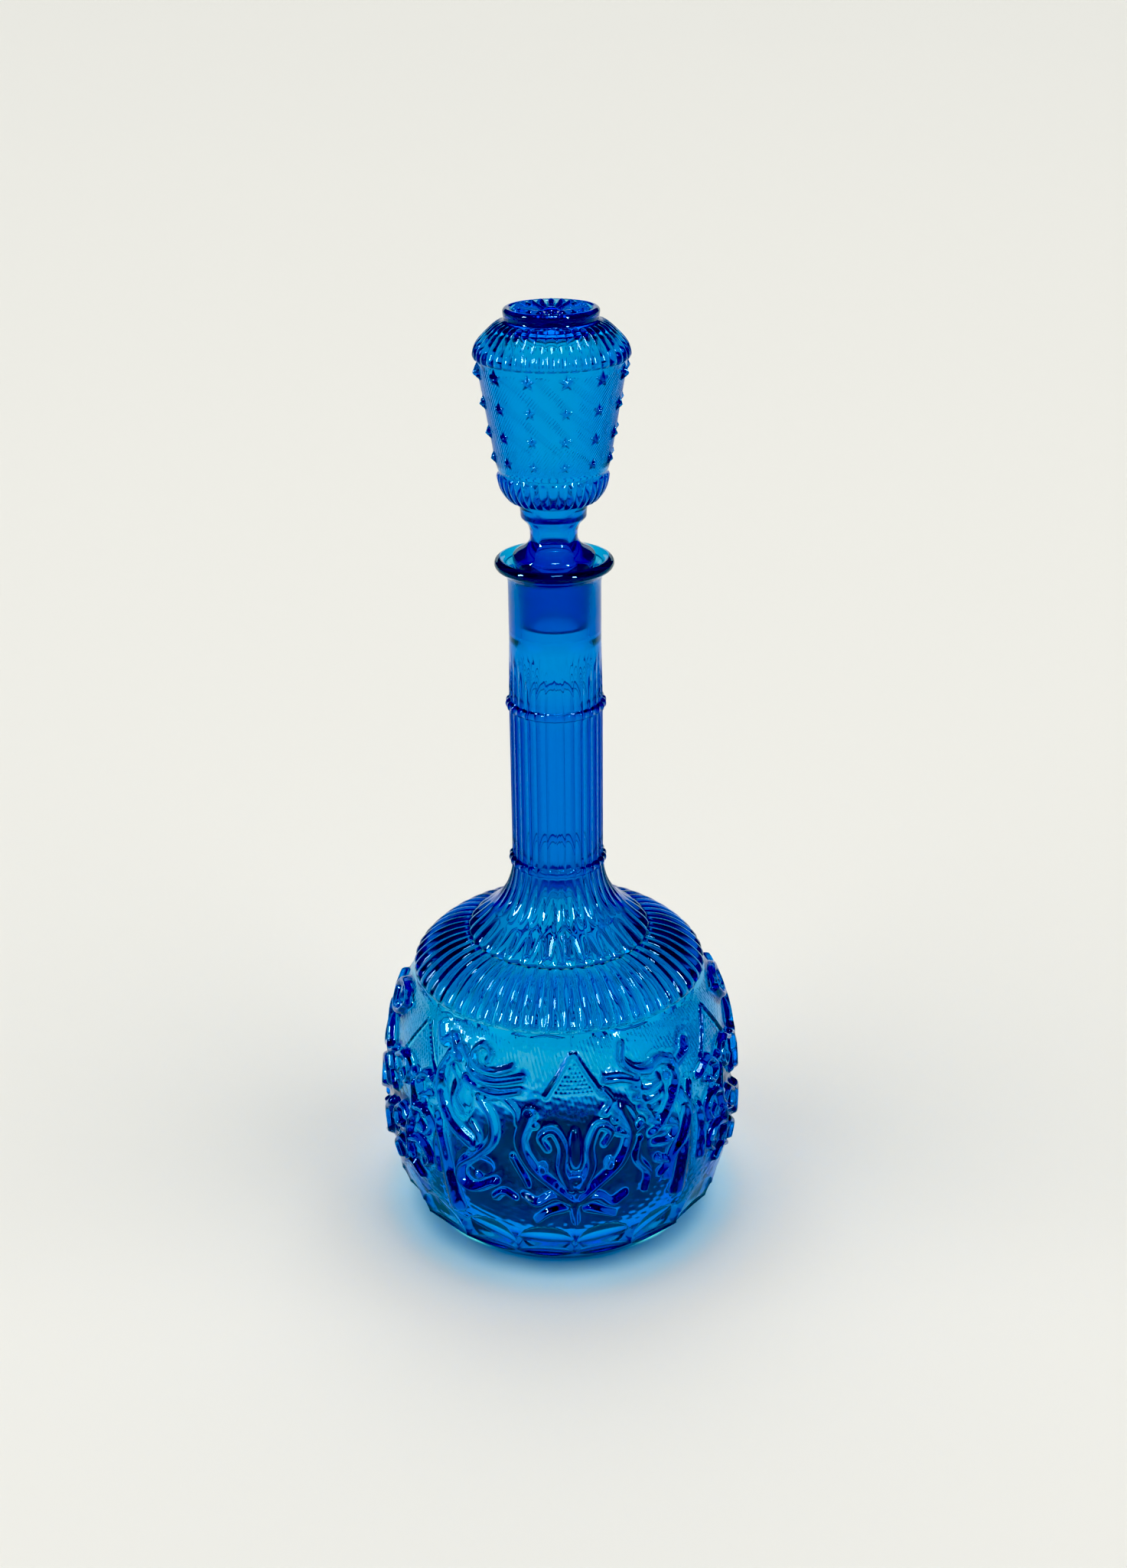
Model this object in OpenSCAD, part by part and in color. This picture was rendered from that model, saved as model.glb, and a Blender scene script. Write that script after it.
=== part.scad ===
// Moulded-glass decanter with a ground-glass stopper.
// The axis is +Z and the foot stands on z = 0.

/* [Body] */
// Largest radius of the body
body_r = 68.2; // [62:0.1:74]
// Height of the body's widest band
belly_z = 44; // [38:1:50]
// Radius of the ring that the foot stands on
foot_r = 46; // [40:1:50]
// Width of the flat worn on that ring
foot_flat = 3; // [1:0.5:5]
// Radius and height of the shoulder's outer edge
shoulder_r = 54; // [50:1:57]
shoulder_z = 100; // [96:1:104]
// Radius and height of the collar edge that the neck flares out to
collar_r = 33; // [28:1:38]
collar_z = 114.5; // [112:0.5:118]
// Thickness of the body's glass, relief included
body_wall = 4.5; // [3:0.5:6]
// Thickness of the base, and how far its middle is pushed up
base_wall = 5; // [4:0.5:8]
push_up = 4; // [2:0.5:6]

/* [Thumbprints] */
// Number of scooped thumbprints round the lower edge
thumbprints = 18; // [12:1:24]
// Depth of a thumbprint
thumbprint_d = 1.6; // [0.5:0.1:2]

/* [Neck] */
// Radius of the plain neck below the lip
neck_r = 16; // [15:0.1:18]
// Thickness of the neck's glass
neck_wall = 3.2; // [2.5:0.1:4]
// Heights of the lower and the upper bead
bead_z = [143.4, 203.3];
// How far a bead stands proud of the flutes
bead_proud = 1.2; // [0.5:0.1:2]
// Number of flutes round the neck
flutes = 30; // [20:2:36]
// Depth of a flute
flute_d = 0.7; // [0.3:0.1:1]
// Height of the lip's crest and its outer radius
rim_z = 256; // [250:1:258]
rim_r = 20.5; // [19.5:0.1:22]
// Radius of the lip's rolled edge
lip_roll = 1.8; // [1.5:0.1:2.2]

/* [Stopper] */
// Largest radius and full height of the stopper's head above the rim
head_r = 25.8; // [24:0.1:28]
top_z = 340; // [338:1:344]
// Radius of the stem, and of the band above it
stem_r = 8.1; // [7:0.1:9]
band_r = 11.6; // [10.5:0.1:12.5]
// Radius of the flange that sits in the dished mouth
flange_r = 14.2; // [13.8:0.1:14.6]
// Radius of the flat disc on top
disc_r = 15.8; // [14:0.1:17]
// Thickness of the head's glass
head_wall = 2.8; // [2:0.1:3.5]
// Length of the ground peg below the rim
peg_l = 23.5; // [18:0.5:28]
// Gap between the ground peg and its socket
peg_gap = 0.15; // [0.08:0.01:0.3]

/* [Hidden] */
glass = [0.02, 0.45, 0.78];
$fn = 96;

// ---- curves ---------------------------------------------------------

// Points on a cubic curve from a to d that leaves towards b and arrives from c, without the last
function curve(a, b, c, d, n = 8) = [
    for (i = [0 : n - 1])
        let (t = i / n, s = 1 - t)
            a * s * s * s + b * 3 * s * s * t + c * 3 * s * t * t + d * t * t * t
];

// Points on a circular arc
function arc(centre, r, from, to, n = 10) = [
    for (i = [0 : n]) centre + r * [cos(from + (to - from) * i / n), sin(from + (to - from) * i / n)]
];

// ---- bottle ---------------------------------------------------------

HEEL = [foot_r + 11, 10];               // widest point of the rounded foot
CHEST = [body_r - 5, belly_z + 34];     // where the body turns in towards the shoulder
FOOT_ROUND = 2;                         // radius of the foot ring's edges
flute_r = neck_r + 0.6;                 // radius over the ridges between the flutes
bore_r = neck_r - neck_wall;
SOCKET_TAPER = 0.055;                   // radius lost for each millimetre down the ground socket
socket_bottom = rim_z - peg_l - 3;
socket_top = rim_z - 6;
socket_r = bore_r + 0.2;                // radius of the socket at its top

// A half-round bead on the neck's outline
function bead(z) = arc([flute_r - 0.6, z], bead_proud, -80, 80, 6);

function body_outline() = concat(
    [[0, push_up]],
    arc([foot_r - foot_flat / 2, FOOT_ROUND], FOOT_ROUND, -160, -90, 4),
    arc([foot_r + foot_flat / 2, FOOT_ROUND], FOOT_ROUND, -90, -60, 2),
    curve([foot_r + 4, 1], [foot_r + 8, 3], [HEEL[0] - 1, 7], HEEL, 5),
    curve(HEEL, HEEL + [5, 8], [body_r, belly_z - 20], [body_r, belly_z], 10),
    curve([body_r, belly_z], [body_r, belly_z + 14], CHEST + [2.2, -9], CHEST, 8),
    curve(CHEST, CHEST + [-2.2, 9], [shoulder_r + 1.8, shoulder_z - 7], [shoulder_r, shoulder_z], 6),
    curve([shoulder_r, shoulder_z], [shoulder_r - 1.6, shoulder_z + 6],
          [collar_r + 9, collar_z - 3.5], [collar_r, collar_z - 0.8], 8)
);

function neck_outline() = concat(
    curve([collar_r, collar_z], [collar_r - 5, collar_z + 6],
          [flute_r + 1, bead_z[0] - 18], [flute_r, bead_z[0] - 3], 12),
    bead(bead_z[0]),
    [[flute_r, bead_z[0] + 3], [flute_r, bead_z[1] - 3]],
    bead(bead_z[1]),
    [[flute_r, bead_z[1] + 3], [neck_r, bead_z[1] + 18]]
);

function lip_outline() = concat(
    curve([neck_r, rim_z - 10], [neck_r, rim_z - 6], [rim_r - 3.5, rim_z - 4.6],
          [rim_r - 1.4, rim_z - 3.3], 6),
    arc([rim_r - lip_roll, rim_z - lip_roll], lip_roll, -45, 180, 12),
    curve([rim_r - 2 * lip_roll, rim_z - lip_roll - 0.5], [socket_r + 2.5, rim_z - 4.2],
          [socket_r, rim_z - 4.6], [socket_r, socket_top], 6)
);

function bore_outline() = [
    [socket_r, socket_top],
    [socket_r - SOCKET_TAPER * (socket_top - socket_bottom), socket_bottom],
    [bore_r, socket_bottom - 4],
    [bore_r, bead_z[0] + 4]
];

function inner_outline() = concat(
    curve([bore_r, bead_z[0]], [bore_r + 0.5, bead_z[0] - 16],
          [collar_r - 9, collar_z + 2], [collar_r + 4, collar_z - 7], 10),
    curve([collar_r + 4, collar_z - 7], [collar_r + 11, collar_z - 10],
          [shoulder_r - body_wall - 2, shoulder_z], [shoulder_r - body_wall + 1, shoulder_z - 9], 6),
    curve([shoulder_r - body_wall + 1, shoulder_z - 9], [shoulder_r - body_wall + 3, shoulder_z - 17],
          [body_r - body_wall - 1.5, belly_z + 24], [body_r - body_wall - 1, belly_z + 8], 8),
    curve([body_r - body_wall - 1, belly_z + 8], [body_r - body_wall, belly_z - 8],
          [HEEL[0] + 4, HEEL[1] + 10], [HEEL[0] - 1, HEEL[1] + 4], 8),
    curve([HEEL[0] - 1, HEEL[1] + 4], [HEEL[0] - 7, base_wall + 3],
          [foot_r - 8, base_wall + 1], [foot_r - 22, base_wall + push_up - 1], 6),
    [[0, base_wall + push_up]]
);

// A shallow round scoop at each thumbprint's middle
module thumbprint_cuts() {
    scoop_r = 16;
    mid = [HEEL[0] + 2.6, HEEL[1] + 5.5];
    reach = scoop_r - thumbprint_d;
    for (i = [0 : thumbprints - 1])
        rotate([0, 0, (i + 0.5) * 360 / thumbprints])
            translate([mid[0] + reach * cos(-30), 0, mid[1] + reach * sin(-30)])
                sphere(r = scoop_r);
}

// A long round-ended groove at each flute, between the beads and above the upper one
module flute_cuts() {
    groove_r = PI * flute_r / flutes * 0.95;
    at = flute_r + groove_r - flute_d;
    low = bead_z[0] + 3 + groove_r;
    high = bead_z[1] + 14;
    for (i = [0 : flutes - 1])
        rotate([0, 0, i * 360 / flutes])
            translate([at, 0, low]) {
                cylinder(r = groove_r, h = high - low);
                sphere(r = groove_r);
                translate([0, 0, high - low]) sphere(r = groove_r);
            }
}

module bottle() {
    color(glass)
        difference() {
            rotate_extrude()
                polygon(concat(body_outline(), neck_outline(), lip_outline(), bore_outline(),
                               inner_outline()));
            thumbprint_cuts();
            flute_cuts();
        }
}

// ---- stopper --------------------------------------------------------

peg_bottom = rim_z - peg_l;
peg_top = socket_top;
peg_r = socket_r - peg_gap;             // radius of the peg at its top
peg_bore_r = 5.2;                       // the peg, stem and head are blown hollow
stem_bore_r = 4.2;
flange_z = rim_z + 0.6;
band_z = rim_z + 16;
bulge_z = rim_z + 31;                   // top of the lower ribbed bulge
bulge_r = head_r - 6.4;
eaves_z = top_z - 20;                   // lower ends of the upper ribs
disc_z = top_z - 6;
DISH = 1.2;                             // depth of the dished top

function stopper_outline() = concat(
    [[peg_bore_r, peg_bottom],
     [peg_r - SOCKET_TAPER * (peg_top - peg_bottom) - 0.6, peg_bottom],
     [peg_r - SOCKET_TAPER * (peg_top - peg_bottom), peg_bottom + 0.6],
     [peg_r, peg_top]],
    curve([peg_r, peg_top + 2], [peg_r + 0.2, peg_top + 3], [flange_r, flange_z - 2],
          [flange_r, flange_z], 5),
    curve([flange_r, flange_z], [flange_r, flange_z + 2.4], [stem_r + 0.4, flange_z + 2],
          [stem_r, flange_z + 6], 8),
    curve([stem_r, band_z - 6], [stem_r, band_z - 4], [band_r - 2, band_z - 3],
          [band_r - 0.8, band_z - 2], 4),
    [[band_r - 0.2, band_z - 1], [band_r, band_z], [band_r, band_z + 4.5]],
    curve([band_r + 0.6, band_z + 5], [band_r + 4.5, band_z + 7.5],
          [bulge_r, bulge_z - 6], [bulge_r, bulge_z - 1], 8),
    [[bulge_r - 0.4, bulge_z], [head_r - 1.4, eaves_z - 2]],
    curve([head_r - 0.5, eaves_z - 0.5], [head_r, eaves_z], [head_r, eaves_z + 2],
          [head_r, eaves_z + 3], 4),
    curve([head_r, eaves_z + 3], [head_r, eaves_z + 9], [disc_r + 5, disc_z - 1.5],
          [disc_r, disc_z], 8),
    [[disc_r, disc_z], [disc_r, top_z - 0.6], [disc_r - 0.6, top_z], [disc_r - 2.2, top_z],
     [disc_r - 3, top_z - DISH], [0, top_z - DISH]]
);

function stopper_hollow() = concat(
    [[0, disc_z - head_wall + 1]],
    curve([0, disc_z - head_wall + 1], [disc_r - 2, disc_z - head_wall + 1],
          [head_r - head_wall - 0.6, eaves_z + 8], [head_r - head_wall - 0.6, eaves_z + 1], 10),
    curve([head_r - head_wall - 0.6, eaves_z + 1], [head_r - head_wall - 2, eaves_z - 12],
          [bulge_r - head_wall + 1, bulge_z + 6], [bulge_r - head_wall - 0.4, bulge_z - 1], 6),
    curve([bulge_r - head_wall - 0.4, bulge_z - 1], [bulge_r - head_wall - 1, bulge_z - 8],
          [stem_bore_r + 2, band_z + 6], [stem_bore_r, band_z - 3], 8),
    [[stem_bore_r, band_z - 4], [stem_bore_r, flange_z + 4], [peg_bore_r, flange_z - 4]]
);

module stopper() {
    color(glass)
        rotate_extrude()
            polygon(concat(stopper_outline(), stopper_hollow()));
}

bottle();
stopper();
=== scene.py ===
"""A blue moulded-glass decanter with its glass stopper, on a pale studio floor."""
import math

import bpy
import mathutils
import numpy as np
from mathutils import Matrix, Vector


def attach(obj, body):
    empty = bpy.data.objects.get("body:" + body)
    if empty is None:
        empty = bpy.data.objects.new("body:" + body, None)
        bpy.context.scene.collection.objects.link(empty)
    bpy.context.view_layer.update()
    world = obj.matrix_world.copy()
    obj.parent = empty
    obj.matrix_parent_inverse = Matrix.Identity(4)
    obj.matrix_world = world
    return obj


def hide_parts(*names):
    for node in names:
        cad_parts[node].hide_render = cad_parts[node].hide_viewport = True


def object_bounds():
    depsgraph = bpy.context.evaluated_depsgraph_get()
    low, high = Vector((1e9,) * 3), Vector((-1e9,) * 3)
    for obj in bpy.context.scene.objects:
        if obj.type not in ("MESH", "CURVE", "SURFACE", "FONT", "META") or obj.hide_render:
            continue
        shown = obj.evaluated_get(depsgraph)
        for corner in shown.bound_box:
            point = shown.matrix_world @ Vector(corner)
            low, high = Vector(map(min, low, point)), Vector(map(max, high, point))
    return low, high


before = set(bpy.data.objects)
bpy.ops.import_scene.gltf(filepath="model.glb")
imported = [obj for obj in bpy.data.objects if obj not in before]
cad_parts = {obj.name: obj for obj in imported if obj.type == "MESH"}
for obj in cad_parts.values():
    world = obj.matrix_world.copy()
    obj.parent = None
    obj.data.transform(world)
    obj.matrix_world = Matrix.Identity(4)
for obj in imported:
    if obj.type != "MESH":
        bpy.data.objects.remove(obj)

CAD_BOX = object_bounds()
MM = 0.001

# Front is -Y. Azimuths are in degrees from the front, growing towards +X. Lengths are in millimetres.
SEAM_AZ = 4.5          # the mould seam, and the middle of the first triangle
SECTORS = 6            # the relief repeats its layout this many times
PETALS = 18
SHOULDER_RIBS = 54
FLUTES = 30


# ---------------------------------------------------------------------------
# Outlines: (radius, height) points
# ---------------------------------------------------------------------------

def curve(a, b, c, d, n=16):
    """A cubic curve from a to d that leaves towards b and arrives from c."""
    t = np.linspace(0, 1, n + 1)[:, None]
    s = 1 - t
    a, b, c, d = (np.array(p, float) for p in (a, b, c, d))
    return a * s ** 3 + 3 * b * s * s * t + 3 * c * s * t * t + d * t ** 3


def arc(centre, radius, start, stop, n=12):
    turn = np.radians(np.linspace(start, stop, n + 1))
    return np.array(centre) + radius * np.column_stack([np.cos(turn), np.sin(turn)])


def line(*points):
    return np.array(points, float)


def chained(*spans):
    """Spans that each start where the last one ends, as one run of points."""
    return np.vstack([spans[0]] + [span[1:] for span in spans[1:]])


def resampled(points, step):
    """The same outline with points about step apart."""
    gaps = np.hypot(*np.diff(points, axis=0).T)
    along = np.concatenate([[0], np.cumsum(gaps)])
    count = max(1, int(round(along[-1] / step)))
    at = np.linspace(0, along[-1], count + 1)
    return np.column_stack([np.interp(at, along, points[:, k]) for k in (0, 1)])


class Outline:
    """Spans joined end to end. Each has a name, its points' spacing and how many columns go round it."""

    def __init__(self):
        self.points, self.zones, self.columns = [], [], []

    def add(self, zone, points, step, columns):
        pts = resampled(np.asarray(points, float), step)
        if self.points and np.hypot(*(pts[0] - self.points[-1])) < 0.02:
            pts = pts[1:]
        self.points.extend(pts)
        self.zones.extend([zone] * len(pts))
        self.columns.extend([columns] * len(pts))

    def finish(self):
        self.points = np.array(self.points)
        self.zones = np.array(self.zones)
        before = np.vstack([self.points[:1], self.points[:-1]])
        after = np.vstack([self.points[1:], self.points[-1:]])
        run = after - before
        run /= np.maximum(np.hypot(*run.T), 1e-9)[:, None]
        self.normals = np.column_stack([run[:, 1], -run[:, 0]])
        return self


# ---------------------------------------------------------------------------
# Meshes of revolution with a height on each point
# ---------------------------------------------------------------------------

def azimuths(columns):
    return np.arange(columns) * 360.0 / columns


def rings_of(outline, heights):
    """One ring of points per row, each moved along the outline's normal by its height."""
    rings = []
    for (r, z), normal, columns, height in zip(outline.points, outline.normals, outline.columns, heights):
        if r < 1e-6:
            rings.append(np.array([[0, 0, z]]))
            continue
        az = np.radians(azimuths(columns))
        radius = r + height * normal[0]
        z_all = z + height * normal[1] + 0 * az
        rings.append(np.column_stack([radius * np.sin(az), -radius * np.cos(az), z_all]))
    return rings


def joined(first_a, count_a, first_b, count_b):
    """Faces between a ring and the next one up.

    One may have a single point, or a whole multiple of the other's."""
    if count_a == 1 or count_b == 1:
        n = max(count_a, count_b)
        j = np.arange(n)
        k = (j + 1) % n
        if count_a == 1:
            return [], np.column_stack([first_a + 0 * j, first_b + k, first_b + j])
        return [], np.column_stack([first_a + j, first_a + k, first_b + 0 * j])
    if count_a == count_b:
        j = np.arange(count_a)
        k = (j + 1) % count_a
        return np.column_stack([first_a + j, first_a + k, first_b + k, first_b + j]), []
    flip = count_a < count_b
    fine, many, coarse, few = (
        (first_b, count_b, first_a, count_a) if flip else (first_a, count_a, first_b, count_b)
    )
    ratio = many // few
    j = np.arange(few)
    k = (j + 1) % few
    tris = [
        np.column_stack([fine + j * ratio + i, fine + j * ratio + i + 1, coarse + j])
        for i in range(ratio - 1)
    ]
    quads = np.column_stack(
        [fine + j * ratio + ratio - 1, fine + (j + 1) * ratio % many, coarse + k, coarse + j]
    )
    tris = np.vstack(tris)
    if flip:
        tris, quads = tris[:, ::-1], quads[:, ::-1]
    return quads, tris


def solid(name, rings, ground, material):
    """A closed, smooth-shaded mesh through the rings. ground is 1 on the rows of ground glass."""
    firsts = np.concatenate([[0], np.cumsum([len(r) for r in rings])])
    quads, tris = [], []
    for i in range(len(rings) - 1):
        q, t = joined(firsts[i], len(rings[i]), firsts[i + 1], len(rings[i + 1]))
        quads.extend([q] if len(q) else [])
        tris.extend([t] if len(t) else [])
    quads, tris = np.vstack(quads), np.vstack(tris)
    points = np.vstack(rings) * MM
    mesh = bpy.data.meshes.new(name)
    mesh.vertices.add(len(points))
    mesh.vertices.foreach_set("co", points.astype(np.float32).ravel())
    corners = np.concatenate([quads.ravel(), tris.ravel()]).astype(np.int32)
    starts = np.concatenate(
        [np.arange(len(quads)) * 4, len(quads) * 4 + np.arange(len(tris)) * 3]
    ).astype(np.int32)
    mesh.loops.add(len(corners))
    mesh.loops.foreach_set("vertex_index", corners)
    mesh.polygons.add(len(starts))
    mesh.polygons.foreach_set("loop_start", starts)
    mesh.polygons.foreach_set("use_smooth", np.ones(len(starts), bool))
    mesh.update(calc_edges=True)
    mesh.validate()
    mask = mesh.attributes.new("ground", "FLOAT", "POINT")
    mask.data.foreach_set("value", np.repeat(ground, [len(r) for r in rings]).astype(np.float32))
    mesh.materials.append(material)
    piece = bpy.data.objects.new(name, mesh)
    bpy.context.scene.collection.objects.link(piece)
    return piece


# ---------------------------------------------------------------------------
# Shapes of relief
# ---------------------------------------------------------------------------

def wrapped(degrees, period=360.0):
    """The angle from the nearest multiple of period."""
    return (degrees + period / 2) % period - period / 2


def smooth(low, high, x):
    t = np.clip((x - low) / (high - low), 0, 1)
    return t * t * (3 - 2 * t)


def gadroon(az, count, az0=0.0, sharp=0.5):
    """Rounded ribs side by side, 1 on each crest and 0 in the grooves."""
    x = wrapped(az - az0, 360.0 / count) * count / 180.0
    return np.maximum(1 - x * x, 0) ** sharp


def ripple(az, z, seed=0.0):
    """The slow unevenness of blown glass, from -1 to 1."""
    a = np.radians(az)
    return (
        np.sin(2 * a + z / 31 + seed) * 0.45
        + np.sin(3 * a - z / 19 + 1.7 + seed) * 0.3
        + np.sin(7 * a + z / 11 + 0.6) * 0.15
        + np.sin(5 * a - z / 7 + 2.9) * 0.1
    )


def spline(points, steps=8):
    """A smooth path through the points (Catmull-Rom)."""
    p = np.array(points, float)
    p = np.vstack([2 * p[0] - p[1], p, 2 * p[-1] - p[-2]])
    t = np.linspace(0, 1, steps, endpoint=False)[:, None]
    path = []
    for a, b, c, d in zip(p[:-3], p[1:-2], p[2:-1], p[3:]):
        path.append(
            0.5 * (2 * b + (c - a) * t + (2 * a - 5 * b + 4 * c - d) * t ** 2
                   + (3 * b - a - 3 * c + d) * t ** 3)
        )
    return np.vstack(path + [p[-2:-1]])


def crown(distance, power):
    """A rounded ridge or lump: 1 in the middle, 0 from a distance of 1 on."""
    return np.maximum(1 - distance * distance, 0) ** power


class Field:
    """A sheet of heights over azimuth and height z, that strokes and bosses are laid on.

    Each is a steep-sided ridge on a wide, low swell, and they run into each other like wax."""

    REF = 62.0          # radius at which a degree is turned into millimetres
    WIDER, HIGHER = 1.16, 1.34          # factors on every stroke's width and height
    SWELL, SWELL_SHARE = 2.6, 0.22      # the swell's reach past the ridge, and its share of the height
    BLEND = 0.6         # height over which ridges that meet are rounded into each other

    def __init__(self, az, z):
        self.az, self.z = az, z
        self.height = np.zeros((len(z), len(az)))
        self.swell = np.zeros((len(z), len(az)))

    def patch(self, az0, x0, x1, z0, z1):
        """Rows, columns and local coordinates of a patch round the azimuth az0."""
        x = wrapped(self.az - az0) * math.radians(1) * self.REF
        cols = np.where((x >= x0) & (x <= x1))[0]
        rows = np.where((self.z >= z0) & (self.z <= z1))[0]
        return np.ix_(rows, cols), x[cols][None, :], self.z[rows][:, None]

    def lay(self, window, ridge, swell):
        old = self.height[window]
        meet = np.maximum(self.BLEND - abs(old - ridge), 0) ** 2 / (4 * self.BLEND)
        self.height[window] = np.maximum(old, ridge) + meet * (ridge > 0) * (old > 0)
        self.swell[window] = np.maximum(self.swell[window], swell)

    def stroke(self, az0, points, width, high, end_width=None, mirror=False, power=0.55, swelling=True):
        """A rounded ridge along a smooth path. Widths are half-widths."""
        path = spline(points)
        if mirror:
            path = path * [-1, 1]
        widths = self.WIDER * np.linspace(width, width if end_width is None else end_width, len(path))
        margin = widths.max() + self.SWELL
        (x0, z0), (x1, z1) = path.min(0) - margin, path.max(0) + margin
        window, x, z = self.patch(az0, x0, x1, z0, z1)
        ridge = np.full(np.broadcast(x, z).shape, np.inf)
        wide = ridge.copy()
        for (ax, az), (bx, bz), w in zip(path[:-1], path[1:], widths):
            dx, dz = bx - ax, bz - az
            t = np.clip(((x - ax) * dx + (z - az) * dz) / max(dx * dx + dz * dz, 1e-9), 0, 1)
            gap = np.hypot(x - ax - t * dx, z - az - t * dz)
            ridge = np.minimum(ridge, gap / w)
            wide = np.minimum(wide, gap / (w + self.SWELL))
        high *= self.HIGHER
        share = self.SWELL_SHARE if swelling else 0.0
        self.lay(window, high * crown(ridge, power), high * share * crown(wide, 1.6))

    def boss(self, az0, x, z, rx, rz, high, mirror=False, power=0.6):
        """A rounded oval lump."""
        x = -x if mirror else x
        window, gx, gz = self.patch(az0, x - rx, x + rx, z - rz, z + rz)
        self.lay(window, self.HIGHER * high * crown(np.hypot((gx - x) / rx, (gz - z) / rz), power), 0)

    def total(self):
        return self.height + self.swell


# Each figure is strokes ([(x, z), ...], half-width, thickness, end half-width) and bosses (x, z, half the
# width, half the height, thickness), with x measured from the figure's own middle.
HORNED = {
    "strokes": [
        ([(-16, 87), (-18.5, 80), (-17, 71), (-11, 63), (-3, 58)], 1.5, 2.1, 2.4),
        ([(-23, 95), (-20, 91), (-16, 93), (-13, 89)], 2.2, 1.9, 1.4),
        ([(-16, 88), (-11, 91), (-7, 88)], 1.6, 1.6, 1.2),
        ([(-14, 84), (-10, 80), (-11, 74), (-8, 69)], 1.2, 1.3, 0.9),
        ([(0, 89), (1, 92), (-2.5, 94), (-6, 91), (-4, 87), (3, 86), (10, 88.5)], 0.9, 1.5, 1.0),
        ([(-7, 86), (-3, 83.3), (4, 83), (14, 85.4)], 1.3, 1.9, 1.0),
        ([(-7.5, 81.5), (-2, 79.6), (5, 79), (13, 81)], 1.3, 1.9, 1.0),
        ([(-1, 76), (3.5, 70), (4, 62), (-1, 55), (-7, 49), (-8, 43), (-3, 40), (5, 45)], 1.6, 2.1, 1.3),
        ([(-4, 66), (-1, 60), (-5, 53)], 1.0, 1.2, 0.8),
        ([(2, 77), (7, 78), (12, 74), (13, 69)], 1.3, 1.5, 1.0),
        ([(-19, 64), (-15.5, 52), (-13, 40), (-11, 29)], 0.8, 1.7, 2.9),
        ([(5, 38), (8, 41), (12, 39)], 1.3, 1.3, 0.9),
    ],
    "bosses": [(-12, 88, 2.2, 2.2, 2.3), (-9, 74, 5, 9, 0.9), (0, 50, 5, 4, 0.9), (-1, 46, 1.4, 1.8, 2.0)],
}
BULL = {
    "strokes": [
        ([(-13, 95), (-14, 90), (-10, 86), (-4, 84.6)], 0.9, 1.9, 1.7),
        ([(14.5, 89), (13, 85.5), (8, 83)], 1.2, 2.1, 2.0),
        ([(-4, 85), (1, 86.5), (6, 84.5)], 1.8, 1.7, 1.6),
        ([(5.5, 85), (6.5, 78), (3, 70), (-2, 63.5)], 1.5, 2.1, 1.9),
        ([(-9, 83), (-8.5, 76), (-5.5, 69), (-2.5, 64)], 1.0, 1.5, 1.2),
        ([(-11, 80), (-6, 78), (-1, 79.4)], 1.1, 1.5, 0.8),
        ([(-10.5, 76), (-6, 74), (-1.5, 75)], 1.1, 1.5, 0.8),
        ([(-9, 72), (-5.5, 70.3), (-2, 71)], 1.0, 1.4, 0.8),
        ([(-21, 84.5), (-15, 84), (-10, 82)], 1.3, 1.8, 1.1),
        ([(-18, 77), (-14.5, 75), (-11.5, 70), (-13.5, 67.5), (-17, 71), (-18, 77)], 0.9, 1.5, 0.9),
        ([(-17, 65), (-13, 63.5), (-9, 66)], 1.5, 1.7, 1.2),
        ([(-5, 61), (0, 63), (5, 60), (2, 56), (-4, 57)], 1.3, 1.6, 1.0),
        ([(8, 72), (11, 64), (8, 55), (3, 49), (1, 41)], 1.5, 1.9, 1.2),
        ([(-10, 60), (-11, 53), (-7, 46), (-8, 39)], 1.4, 1.6, 1.0),
        ([(13, 74), (10.5, 62), (8.5, 48), (6, 33)], 0.8, 1.7, 2.6),
        ([(-3, 50), (1, 47), (-2, 43)], 1.1, 1.4, 0.9),
    ],
    "bosses": [(3, 80, 1.6, 1.6, 2.2), (-3, 76, 5, 8, 0.9), (13, 63, 2.2, 3, 1.8), (-4, 66, 2.2, 1.8, 1.9)],
}
FISH = {
    "strokes": [
        ([(-15, 92), (-8, 95), (2, 93), (9, 87), (14, 90)], 1.1, 1.8, 1.6),
        ([(-15, 92), (-9, 86), (0, 84), (9, 87), (15, 83)], 1.3, 1.8, 1.4),
        ([(-6, 93), (-4.5, 89.5), (-6, 86)], 0.9, 1.3, 0.8),
        ([(16, 76), (9, 80), (-1, 78), (-9, 71), (-15, 74)], 1.4, 2.0, 1.2),
        ([(16, 76), (9, 70), (0, 68), (-8, 71), (-14, 66)], 1.4, 2.0, 1.3),
        ([(6, 78.5), (4.5, 74.5), (6, 70.5)], 0.9, 1.3, 0.8),
        ([(-14, 60), (-7, 64), (2, 61), (6, 54), (1, 49), (-4, 53)], 1.7, 2.1, 1.0),
        ([(14, 62), (12, 54), (14, 46), (9, 40)], 1.3, 1.7, 1.9),
        ([(-15, 52), (-10, 46), (-12, 38), (-6, 34)], 1.7, 1.8, 1.1),
        ([(-2, 44), (3, 40), (0, 36)], 1.2, 1.5, 0.9),
        ([(18, 70), (17, 56), (18, 42), (19, 30)], 0.8, 1.7, 2.8),
    ],
    "bosses": [
        (-10, 91, 1.5, 1.5, 2.1), (10, 76, 1.5, 1.5, 2.2), (-1, 89, 6, 3, 1.0), (1, 74, 7, 3.4, 1.1),
    ],
}
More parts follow.
